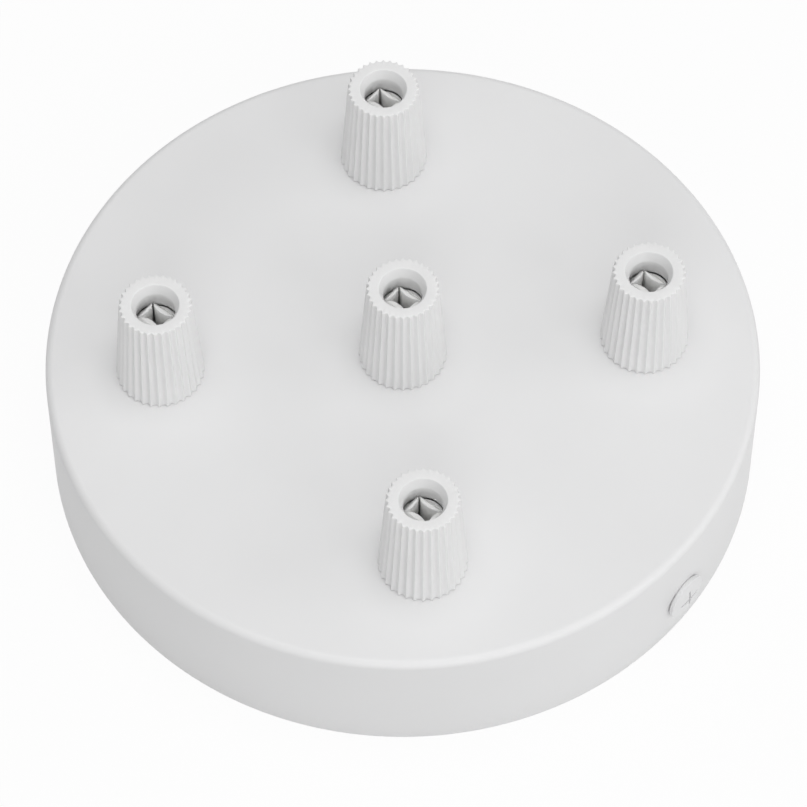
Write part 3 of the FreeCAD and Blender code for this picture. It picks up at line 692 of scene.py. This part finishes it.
def carved(mesh: bpy.types.Mesh, cutters: Sequence[bpy.types.Mesh], name: str) -> bpy.types.Mesh:
    """Cut closed meshes out of a closed mesh.

    Args:
        mesh: the blank.
        cutters: what is cut away.
        name: the result's name.

    Returns:
        The carved mesh.
    """
    scene = bpy.context.scene.collection
    blank = bpy.data.objects.new(name, mesh)
    tools = [bpy.data.objects.new(cutter.name, cutter) for cutter in cutters]
    for obj in (blank, *tools):
        scene.objects.link(obj)
    for tool in tools:
        modifier = blank.modifiers.new("cut", "BOOLEAN")
        modifier.operation = "DIFFERENCE"
        modifier.solver = "EXACT"
        modifier.object = tool
    evaluated = blank.evaluated_get(bpy.context.evaluated_depsgraph_get())
    result = bpy.data.meshes.new_from_object(evaluated)
    result.name = name
    for obj in (blank, *tools):
        bpy.data.objects.remove(obj)
    return result


def prism(low: np.ndarray, high: np.ndarray, bottom: float, top: float,
          name: str) -> bpy.types.Mesh:
    """A closed block between two outlines with the same number of corners.

    Args:
        low: outline at the bottom, shape (count, 2), anticlockwise.
        high: outline at the top, shape (count, 2).
        bottom: height of the first.
        top: height of the second.
        name: the mesh's name.

    Returns:
        The mesh.
    """
    count = len(low)
    points = np.vstack([
        np.column_stack([low, np.full(count, bottom)]),
        np.column_stack([high, np.full(count, top)]),
    ])
    sides = [[k, (k + 1) % count, count + (k + 1) % count, count + k] for k in range(count)]
    ends = [list(range(count))[::-1], [count + k for k in range(count)]]
    return Shell(points, sides + ends).mesh(name)


def circle(radius: float, count: int) -> np.ndarray:
    """Corners of a regular outline, anticlockwise, shape (count, 2)."""
    angle = np.linspace(0.0, TURN, count, endpoint=False)
    return radius * np.column_stack([np.cos(angle), np.sin(angle)])


def cross(reach: float, half_width: float) -> np.ndarray:
    """Outline of a cross with four equal arms, anticlockwise, shape (12, 2)."""
    corner = np.array([[reach, -half_width], [reach, half_width], [half_width, half_width]])
    quarter = np.array([[0.0, -1.0], [1.0, 0.0]])
    return np.vstack([corner @ np.linalg.matrix_power(quarter, k).T for k in range(4)])


# Sub-assemblies


@dataclass
class GripCap:
    """Fluted conical cap that turns down on a stem's thread."""

    number: int
    ridges: int = 32
    steps: int = 12
    ridge_depth: float = 0.42
    base_radius: float = 7.4
    top_radius: float = 6.05
    mouth_radius: float = 3.95
    bore_radius: float = 3.25
    mouth_depth: float = 1.78
    bore_length: float = 1.05
    jaw_room_radius: float = 3.6
    press_cone: tuple = (12.3, 14.5)
    thread_radius: float = 5.04
    thread_depth: float = 0.54
    collar_recess: tuple = (6.3, 1.4)
    crest_width: float = 0.12
    thread_step: float = 0.125
    flute_step: float = 1.6

    def profile(self, height: float) -> np.ndarray:
        """Closed section, up the outside and down the inside.

        Args:
            height: height of the cap.

        Returns:
            Points of (radius, height) from the cap's foot.
        """
        neck = height - self.mouth_depth
        collar_radius, collar_depth = self.collar_recess
        corners = [
            (self.base_radius, 0.0, 0.12),
            (self.top_radius, height, 0.18),
            (self.mouth_radius, height, 0.12),
            (self.bore_radius, neck, 0.05),
            (self.bore_radius, neck - self.bore_length, 0.06),
            (self.jaw_room_radius, neck - self.bore_length, 0.06),
            (self.jaw_room_radius, self.press_cone[1], 0.0),
            (self.thread_radius, self.press_cone[0], 0.0),
            (self.thread_radius, collar_depth, 0.0),
            (collar_radius, collar_depth, 0.0),
            (collar_radius, 0.0, 0.1),
        ]
        low, high = self.thread_radius - SAME_RADIUS, self.thread_radius + SAME_RADIUS
        threaded = refine(smooth_profile(corners), self.thread_step, low, high)
        return refine(threaded, self.flute_step, self.top_radius - 0.2, self.base_radius)

    def fluted(self, height: float) -> RadiusRule:
        """Radius of the cap round its axis.

        Args:
            height: height of the cap.

        Returns:
            The rule: outside, a scallop between two crests drops by depth (1 - t squared), where t
            runs from -1 at one crest to 1 at the next, and fades out over the top face; in the
            thread, the radius grows by the thread's depth along a helix, clear of the stem.
        """
        def radius_of(radius: np.ndarray, up: np.ndarray, angle: np.ndarray) -> np.ndarray:
            """Radius with the flutes and the thread cut."""
            edge = self.base_radius + (self.top_radius - self.base_radius) * up / height
            share = fade(radius, edge - 0.9, edge - 0.25)
            across = np.mod(self.ridges * angle / TURN + 0.5, 1.0) * 2.0 - 1.0
            groove = 1.0 - np.clip(np.abs(across) / (1.0 - self.crest_width), 0.0, 1.0) ** 2
            in_thread = np.abs(radius - self.thread_radius) < SAME_RADIUS
            helix = soft_wave(up - angle / TURN, 0.1, 0.2)
            cut = self.ridge_depth * groove * share
            return radius - cut + self.thread_depth * helix * in_thread

        return radius_of

    def build(self, shop: Workshop) -> None:
        """Make the cap in place of its solid.

        Args:
            shop: gives the finish and adds the piece.
        """
        node = f"grip_cap_{self.number}"
        height = height_of(node)
        grid = turned(self.profile(height), self.ridges * self.steps, self.fluted(height))
        mesh = standing(grid, node).mesh(f"fluted_cap_{self.number}", 40.0)
        shop.add(mesh, Slot.CAP, f"cap_{self.number}", node)


@dataclass
class GripStem:
    """Cord grip under a cap: jaws and collar with broken edges on a tube with a rolled thread."""

    number: int
    edge: float = 0.03
    thread_radius: float = 5.0
    thread_depth: float = 0.56
    bore_radius: float = 3.25
    lead: float = 0.5
    joint: float = -0.6
    columns: int = 96

    def threaded_tube(self, foot: float) -> Shell:
        """Closed tube below the collar.

        Args:
            foot: height of its lower end from the collar's seat.

        Returns:
            The shell, whose outside drops by the thread's depth along a helix of one millimetre.
        """
        corners = [
            (self.bore_radius, foot, 0.15),
            (self.thread_radius, foot, 0.15),
            (self.thread_radius, self.joint, 0.0),
            (self.bore_radius, self.joint, 0.0),
        ]
        low, high = self.thread_radius - NEAR_RADIUS, self.thread_radius + NEAR_RADIUS
        section = refine(smooth_profile(corners), THREAD_STEP, low, high)

        def radius_of(radius: np.ndarray, up: np.ndarray, angle: np.ndarray) -> np.ndarray:
            """Radius with the thread cut."""
            outside = radius > self.thread_radius - 0.3
            helix = 1.0 - soft_wave(up - angle / TURN, 0.1, 0.25)
            start = 1.0 - fade(up, foot, foot + self.lead)
            cut = self.thread_depth * np.maximum(helix, start)
            return radius - cut * outside

        return Shell.ring_grid(turned(section, self.columns, radius_of))

    def build(self, shop: Workshop) -> None:
        """Make the stem in place of its solid.

        Args:
            shop: gives the finish and adds the piece.
        """
        node = f"grip_stem_{self.number}"
        low, centre = low_of(node), centre_of(node)
        seat = high_of("canopy")[2]
        mesh = copy_of(node, f"jaw_stem_{self.number}")
        cut_below(mesh, seat + self.joint)
        mesh = softened(mesh, self.edge)
        tube = self.threaded_tube(low[2] - seat).moved((centre[0], centre[1], seat))
        mesh = joined(mesh, tube.mesh("tube"))
        shop.add(mesh, Slot.STEM, "rose", node)


@dataclass
class LockNut:
    """Thin hexagon nut with turned corners and an internal thread."""

    number: int
    flat: float = 7.0
    corner_cut: float = 0.75
    thread_radius: float = 5.04
    thread_depth: float = 0.5
    thread_lead: float = 0.35
    side_step: float = 0.12
    columns: int = 144

    def build(self, shop: Workshop) -> None:
        """Make the nut in place of its solid.

        Args:
            shop: gives the finish and adds the piece.
        """
        node = f"grip_nut_{self.number}"
        height = height_of(node)
        outer = self.flat / math.cos(math.pi / 6)
        face, lead = self.flat - 0.15, self.thread_lead
        corners = [
            (outer, 0.0, 0.0),
            (outer, height, 0.0),
            (face, height, 0.0),
            (self.thread_radius + lead, height, 0.0),
            (self.thread_radius, height - lead, 0.0),
            (self.thread_radius, lead, 0.0),
            (self.thread_radius + lead, 0.0, 0.0),
            (face, 0.0, 0.0),
        ]
        low, high = self.thread_radius - NEAR_RADIUS, self.thread_radius + NEAR_RADIUS
        section = refine(smooth_profile(corners), THREAD_STEP, low, high)
        section = refine(section, self.side_step, outer - NEAR_RADIUS, outer + NEAR_RADIUS)

        def radius_of(radius: np.ndarray, up: np.ndarray, angle: np.ndarray) -> np.ndarray:
            """Radius with the hexagon, its turned corners and the thread."""
            side = np.mod(angle + math.pi / 6, math.pi / 3) - math.pi / 6
            hexagon = self.flat / np.cos(side)
            edge = np.minimum(up, height - up)
            cone = self.flat - 0.05 + edge * (outer - self.flat) / self.corner_cut
            outside = np.minimum(np.minimum(hexagon, cone), outer)
            helix = soft_wave(up - angle / TURN, 0.1, 0.2) * self.thread_depth
            threaded = np.abs(radius - self.thread_radius) < SAME_RADIUS
            return np.where(radius > outer - NEAR_RADIUS, outside, radius + helix * threaded)

        shell = standing(turned(section, self.columns, radius_of), node)
        shop.add(shell.mesh(f"turned_nut_{self.number}", 24.0), Slot.NUT, "rose", node)


@dataclass
class PunchedWasher:
    """Flat ring with the rounded edge that punching leaves on one side."""

    number: int
    hole_radius: float = 5.15
    radius: float = 8.5
    columns: int = 96

    def build(self, shop: Workshop) -> None:
        """Make the washer in place of its solid.

        Args:
            shop: gives the finish and adds the piece.
        """
        node = f"grip_washer_{self.number}"
        height = height_of(node)
        corners = [
            (self.radius, 0.0, 0.28),
            (self.radius, height, 0.06),
            (self.hole_radius, height, 0.06),
            (self.hole_radius, 0.0, 0.22),
        ]
        shell = standing(turned(smooth_profile(corners), self.columns), node)
        shop.add(shell.mesh(f"punched_washer_{self.number}"), Slot.NUT, "rose", node)


@dataclass
class CrossScrew:
    """Machine screw with a domed head, a tapered cross recess and a rolled thread.

    The screw is made along +Z with the head's seat at 0 and is then turned to its place.
    """

    node: str
    slot: Slot
    head_radius: float
    head_height: float
    rim: float
    thread_radius: float
    length: float
    pitch: float
    recess_reach: float
    recess_width: float
    recess_depth: float
    crown_power: float = 3.0
    crown_edge: float = 0.5
    seat_rounding: float = 0.08
    towards: tuple = (0.0, 0.0, 1.0)
    columns: int = 72

    def blank(self) -> bpy.types.Mesh:
        """Turned head and threaded shank.

        Returns:
            The mesh: above the head's rim the crown follows
            z = rim + (height - rim) (1 - (r / radius) ^ power) ^ edge, flatter for a higher power
            and with a crisper corner for a higher edge.
        """
        share = np.cos(np.linspace(0.0, math.pi / 2, 17))
        crown = (1.0 - share ** self.crown_power) ** self.crown_edge
        rise = self.rim + (self.head_height - self.rim) * crown
        dome = np.column_stack([self.head_radius * share, rise])
        tip, soft = -self.length, self.seat_rounding
        foot = [
            (0.0, tip),
            (self.thread_radius, tip),
            (self.thread_radius, 0.0),
            (self.head_radius - soft, 0.0),
            (self.head_radius, soft),
        ]
        low, high = self.thread_radius - SAME_RADIUS, self.thread_radius + SAME_RADIUS
        section = refine(np.vstack([foot, dome]), self.pitch / 8, low, high)

        def radius_of(radius: np.ndarray, up: np.ndarray, angle: np.ndarray) -> np.ndarray:
            """Radius with the thread cut."""
            on_thread = (np.abs(radius - self.thread_radius) < SAME_RADIUS) & (up < -0.2)
            helix = 1.0 - soft_wave(up / self.pitch - angle / TURN, 0.1, 0.2)
            lead = 1.0 - fade(up, tip, tip + self.pitch)
            return radius - 0.55 * self.pitch * np.maximum(helix, lead) * on_thread

        grid = turned(section, self.columns, radius_of)
        return Shell.ring_grid(grid, closed=False).mesh(f"{self.node}_blank")

    def build(self, shop: Workshop) -> None:
        """Make the screw in place of its solid.

        Args:
            shop: gives the finish and adds the piece.
        """
        floor = self.head_height - self.recess_depth
        recess = prism(
            cross(self.recess_reach * 0.42, self.recess_width * 0.6),
            cross(self.recess_reach * 1.02, self.recess_width),
            floor, self.head_height + 0.1, f"{self.node}_recess",
        )
        mesh = carved(self.blank(), [recess], f"cross_{self.node}")
        place_on_axis(mesh, self.seat(), self.towards)
        tidy_mesh(mesh, 32.0)
        shop.add(mesh, self.slot, "rose", self.node)

    def seat(self) -> np.ndarray:
        """Middle of the plane that the head seats on, in millimetres."""
        out = np.array(self.towards)
        middle = centre_of(self.node)
        half = (high_of(self.node) - low_of(self.node)) / 2
        return middle + out * (half @ np.abs(out) - self.head_height)


def place_on_axis(mesh: bpy.types.Mesh, seat: Sequence[float], towards: Sequence[float]) -> None:
    """Turn a mesh's Z axis to a direction and move its origin to a point.

    Args:
        mesh: the mesh, which is changed.
        seat: the point in millimetres.
        towards: the direction.
    """
    turn = Vector((0.0, 0.0, 1.0)).rotation_difference(Vector(towards)).to_matrix().to_4x4()
    mesh.transform(Matrix.Translation(Vector(seat) * MM) @ turn)


@dataclass
class Canopy:
    """Pressed steel cup with its holes, the rounded bend and the cut rim."""

    sheet: float = 1.0
    inner_bend: float = 0.3
    hole_radius: float = 5.15
    side_hole_radius: float = 2.15
    side_hole_height: float = 8.75
    punch_reach: float = 3.0
    drill_reach: float = 4.0
    columns: int = 384

    def section(self, radius: float, height: float) -> np.ndarray:
        """Closed section of the cup, from the middle hole out over the face and back inside.

        Args:
            radius: outside radius.
            height: height of the face.

        Returns:
            Points of (radius, height); both bends are quarter circles about one centre.
        """
        bend = self.inner_bend + self.sheet
        turn = np.linspace(0.0, math.pi / 2, 11)
        middle = np.array([radius - bend, height - bend])
        outer = middle + bend * np.column_stack([np.sin(turn), np.cos(turn)])
        inner = (middle + self.inner_bend * np.column_stack([np.sin(turn), np.cos(turn)]))[::-1]
        hole, soft = self.hole_radius, 0.12
        support = 0.35
        rows = [
            [(hole, height - soft), (hole + soft, height), (hole + soft + support, height),
             (middle[0] - support, height)],
            outer,
            [(radius, middle[1] - support), (radius, support), (radius - soft, 0.0),
             (radius - self.sheet + soft, 0.0), (radius - self.sheet, support),
             (radius - self.sheet, middle[1] - support)],
            inner,
            [(middle[0] - support, height - self.sheet),
             (hole + soft + support, height - self.sheet), (hole + soft, height - self.sheet),
             (hole, height - self.sheet + soft)],
        ]
        return np.vstack([np.array(row, float) for row in rows])

    def build(self, shop: Workshop) -> None:
        """Make the canopy in place of its solid.

        Args:
            shop: gives the finish and adds the piece.
        """
        high = high_of("canopy")
        section = self.section(high[0], high[2])[::-1]
        blank = Shell.ring_grid(turned(section, self.columns)).mesh("canopy_blank")
        outline = circle(self.hole_radius, 96)
        holes = []
        for number in range(2, GRIPS + 1):
            edge = outline + centre_of(f"grip_stem_{number}")[:2]
            low, top = high[2] - self.punch_reach, high[2] + self.punch_reach
            holes.append(prism(edge, edge, low, top, f"hole_{number}"))
        side = circle(self.side_hole_radius, 48)
        for number, direction in ((1, 1.0), (2, -1.0)):
            drill = prism(side, side, -self.drill_reach, self.drill_reach, f"side_hole_{number}")
            seat = (direction * high[0], 0.0, self.side_hole_height)
            place_on_axis(drill, seat, (direction, 0.0, 0.0))
            holes.append(drill)
        mesh = carved(blank, holes, "pressed_canopy")
        tidy_mesh(mesh, 30.0)
        shop.add(mesh, Slot.COAT, "rose", "canopy")


@dataclass(frozen=True)
class Softened:
    """A solid whose copy only gets broken edges."""

    node: str
    name: str
    width: float


def softened_pieces() -> list:
    """The solids that need broken edges and nothing more.

    Returns:
        One entry for each, with the width of its edges in millimetres.
    """
    pieces = [
        Softened("ceiling_strap", "bent_strap", 0.16),
        Softened("terminal_block", "moulded_block", 0.22),
        Softened("earth_wire_clamp", "earth_clamp_plate", 0.14),
    ]
    for pole in range(1, 4):
        pieces.append(Softened(f"terminal_sleeve_{pole}", f"brass_sleeve_{pole}", 0.12))
        for screw in (f"{pole}a", f"{pole}b"):
            pieces.append(Softened(f"terminal_screw_{screw}", f"clamp_screw_{screw}", 0.08))
    return pieces


def screws() -> list:
    """The five screws with a cross recess.

    Returns:
        Their builders.
    """
    side = dict(
        slot=Slot.SCREW_PAINT, head_radius=4.05, head_height=1.4, rim=0.8, thread_radius=2.0,
        length=7.0, pitch=0.7, recess_reach=2.5, recess_width=0.25, recess_depth=0.9,
        crown_power=2.4, crown_edge=0.9, seat_rounding=0.26,
    )
    block = dict(
        slot=Slot.SCREW, head_radius=2.2, head_height=1.5, rim=0.7, thread_radius=1.25, length=3.7,
        pitch=0.45, recess_reach=1.3, recess_width=0.3, recess_depth=0.9,
    )
    earth = dict(
        slot=Slot.SCREW, head_radius=3.7, head_height=2.3, rim=1.2, thread_radius=2.0, length=3.8,
        pitch=0.7, recess_reach=2.0, recess_width=0.42, recess_depth=1.2,
    )
    return [
        CrossScrew("side_screw_1", towards=(1.0, 0.0, 0.0), **side),
        CrossScrew("side_screw_2", towards=(-1.0, 0.0, 0.0), **side),
        CrossScrew("earth_screw", **earth),
        CrossScrew("block_screw_1", **block),
        CrossScrew("block_screw_2", **block),
    ]


def main() -> None:
    """Build the pieces in order, then the studio."""
    logging.basicConfig(level=logging.INFO, format="%(name)s: %(message)s")
    shop = Workshop()
    slots = {part["node"]: Slot(part["material_slot"]) for part in FRAME["record"]["subparts"]}
    for name, obj in FRAME["nodes"].items():
        shop.dress(obj, slots[name])
    Canopy().build(shop)
    for number in range(1, GRIPS + 1):
        for maker in (GripCap, GripStem, LockNut, PunchedWasher):
            maker(number).build(shop)
    for screw in screws():
        screw.build(shop)
    for piece in softened_pieces():
        mesh = softened(copy_of(piece.node, piece.name), piece.width)
        shop.add(mesh, slots[piece.node], "rose", piece.node)
    Studio().build()
    LOG.info("pieces: %d", shop.count)


@dataclass
class Lamp:
    """An area light that faces the rose, placed in the camera's own directions."""

    name: str
    azimuth: float
    elevation: float
    power: float
    size: float = 1.2
    distance: float = 1.8


@dataclass
class Studio:
    """Camera, soft lamps and pale floor."""

    view_azimuth: float = 39.0
    view_elevation: float = 57.63
    distance: float = 774.94
    shift_right: float = -0.12
    shift_up: float = 8.31
    lens: float = 205.945
    sensor: float = 36.0
    world_strength: float = 0.345
    floor_glow: float = 0.94
    floor_half: float = 6.0
    floor_gap: float = 0.05
    lamps: tuple = (
        Lamp("front_right", -45.0, 30.0, 5.0),
        Lamp("right", 0.0, 25.0, 4.1),
        Lamp("front", -90.0, 30.0, 6.6),
        Lamp("top", 0.0, 90.0, 12.4),
    )

    def build(self) -> None:
        """Add the camera, the lamps, the world and the floor."""
        scene = bpy.context.scene
        scene.view_settings.view_transform = "Standard"
        scene.camera = self.camera()
        for lamp in self.lamps:
            self.light(lamp)
        self.world()
        self.floor()

    def turn(self) -> Matrix:
        """Rotation from the camera's heading to the rose's frame."""
        return Matrix.Rotation(math.radians(self.view_azimuth), 3, "Z")

    def camera(self) -> bpy.types.Object:
        """Place the camera, which looks down at the face's centre, off its axis by the shifts.

        Returns:
            The camera.
        """
        tilt = math.radians(self.view_elevation)
        forward = Vector((0.0, math.cos(tilt), -math.sin(tilt)))
        right = Vector((1.0, 0.0, 0.0))
        up = right.cross(forward)
        target = Vector((0.0, 0.0, high_of("canopy")[2]))
        place = target - (self.shift_right * right + self.shift_up * up + self.distance * forward)
        data = bpy.data.cameras.new("camera")
        data.lens, data.sensor_width = self.lens, self.sensor
        data.clip_start, data.clip_end = 0.01, 20.0
        obj = bpy.data.objects.new("camera", data)
        bpy.context.scene.collection.objects.link(obj)
        turn = self.turn()
        heading = turn @ Matrix((right, up, -forward)).transposed()
        obj.matrix_world = Matrix.Translation(turn @ place * MM) @ heading.to_4x4()
        return obj

    def light(self, lamp: Lamp) -> None:
        """Add one area light.

        Args:
            lamp: its place and power; azimuth 0 is to the camera's right and 90 behind the rose.
        """
        data = bpy.data.lights.new(lamp.name, "AREA")
        data.shape = "DISK"
        data.size = lamp.size
        data.energy = lamp.power
        azimuth, elevation = math.radians(lamp.azimuth), math.radians(lamp.elevation)
        flat = math.cos(elevation)
        local = (math.cos(azimuth) * flat, math.sin(azimuth) * flat, math.sin(elevation))
        out = self.turn() @ Vector(local)
        obj = bpy.data.objects.new(lamp.name, data)
        obj.location = out * lamp.distance
        obj.rotation_mode = "QUATERNION"
        obj.rotation_quaternion = out.to_track_quat("Z", "Y")
        bpy.context.scene.collection.objects.link(obj)

    @staticmethod
    def seen_directly(tree: bpy.types.NodeTree) -> bpy.types.NodeSocket:
        """Tell a look from a bounce.

        Args:
            tree: the tree that gets the nodes.

        Returns:
            1 for camera, mirror and clear rays, and 0 for light that is on its way to a surface.
        """
        path = tree.nodes.new("ShaderNodeLightPath")
        seen = path.outputs["Is Camera Ray"]
        for kind in ("Is Glossy Ray", "Is Transmission Ray"):
            either = tree.nodes.new("ShaderNodeMath")
            either.operation = "MAXIMUM"
            tree.links.new(seen, either.inputs[0])
            tree.links.new(path.outputs[kind], either.inputs[1])
            seen = either.outputs[0]
        return seen

    def world(self) -> None:
        """An even surround that looks white and lights more softly."""
        world = bpy.data.worlds.new("surround")
        bpy.context.scene.world = world
        world.use_nodes = True
        tree = world.node_tree
        background = tree.nodes["Background"]
        background.inputs["Color"].default_value = grey(1.0)
        strength = tree.nodes.new("ShaderNodeMapRange")
        strength.inputs["To Min"].default_value = self.world_strength
        strength.inputs["To Max"].default_value = 1.0
        tree.links.new(self.seen_directly(tree), strength.inputs["Value"])
        tree.links.new(strength.outputs[0], background.inputs["Strength"])

    def floor(self) -> None:
        """A white floor just under the rim that keeps a faint shadow and is clear from below."""
        mesh = bpy.data.meshes.new("floor")
        half, under = self.floor_half, -self.floor_gap * MM
        plan = ((-half, -half), (half, -half), (half, half), (-half, half))
        mesh.from_pydata([(x, y, under) for x, y in plan], [], [(0, 1, 2, 3)])
        obj = bpy.data.objects.new("floor", mesh)
        bpy.context.scene.collection.objects.link(obj)
        material = bpy.data.materials.new("floor_white")
        material.use_nodes = True
        nodes, links = material.node_tree.nodes, material.node_tree.links
        nodes.clear()
        diffuse = nodes.new("ShaderNodeBsdfDiffuse")
        diffuse.inputs["Color"].default_value = grey(0.8)
        glow = nodes.new("ShaderNodeEmission")
        glow.inputs["Color"].default_value = grey(1.0)
        glow.inputs["Strength"].default_value = 1.0
        share = nodes.new("ShaderNodeMath")
        share.operation = "MULTIPLY"
        share.inputs[1].default_value = self.floor_glow
        links.new(self.seen_directly(material.node_tree), share.inputs[0])
        mix = nodes.new("ShaderNodeMixShader")
        links.new(share.outputs[0], mix.inputs[0])
        links.new(diffuse.outputs[0], mix.inputs[1])
        links.new(glow.outputs[0], mix.inputs[2])
        sides = nodes.new("ShaderNodeMixShader")
        links.new(nodes.new("ShaderNodeNewGeometry").outputs["Backfacing"], sides.inputs[0])
        links.new(mix.outputs[0], sides.inputs[1])
        links.new(nodes.new("ShaderNodeBsdfTransparent").outputs[0], sides.inputs[2])
        output = nodes.new("ShaderNodeOutputMaterial")
        links.new(sides.outputs[0], output.inputs["Surface"])
        mesh.materials.append(material)


if __name__ == "__main__":
    main()
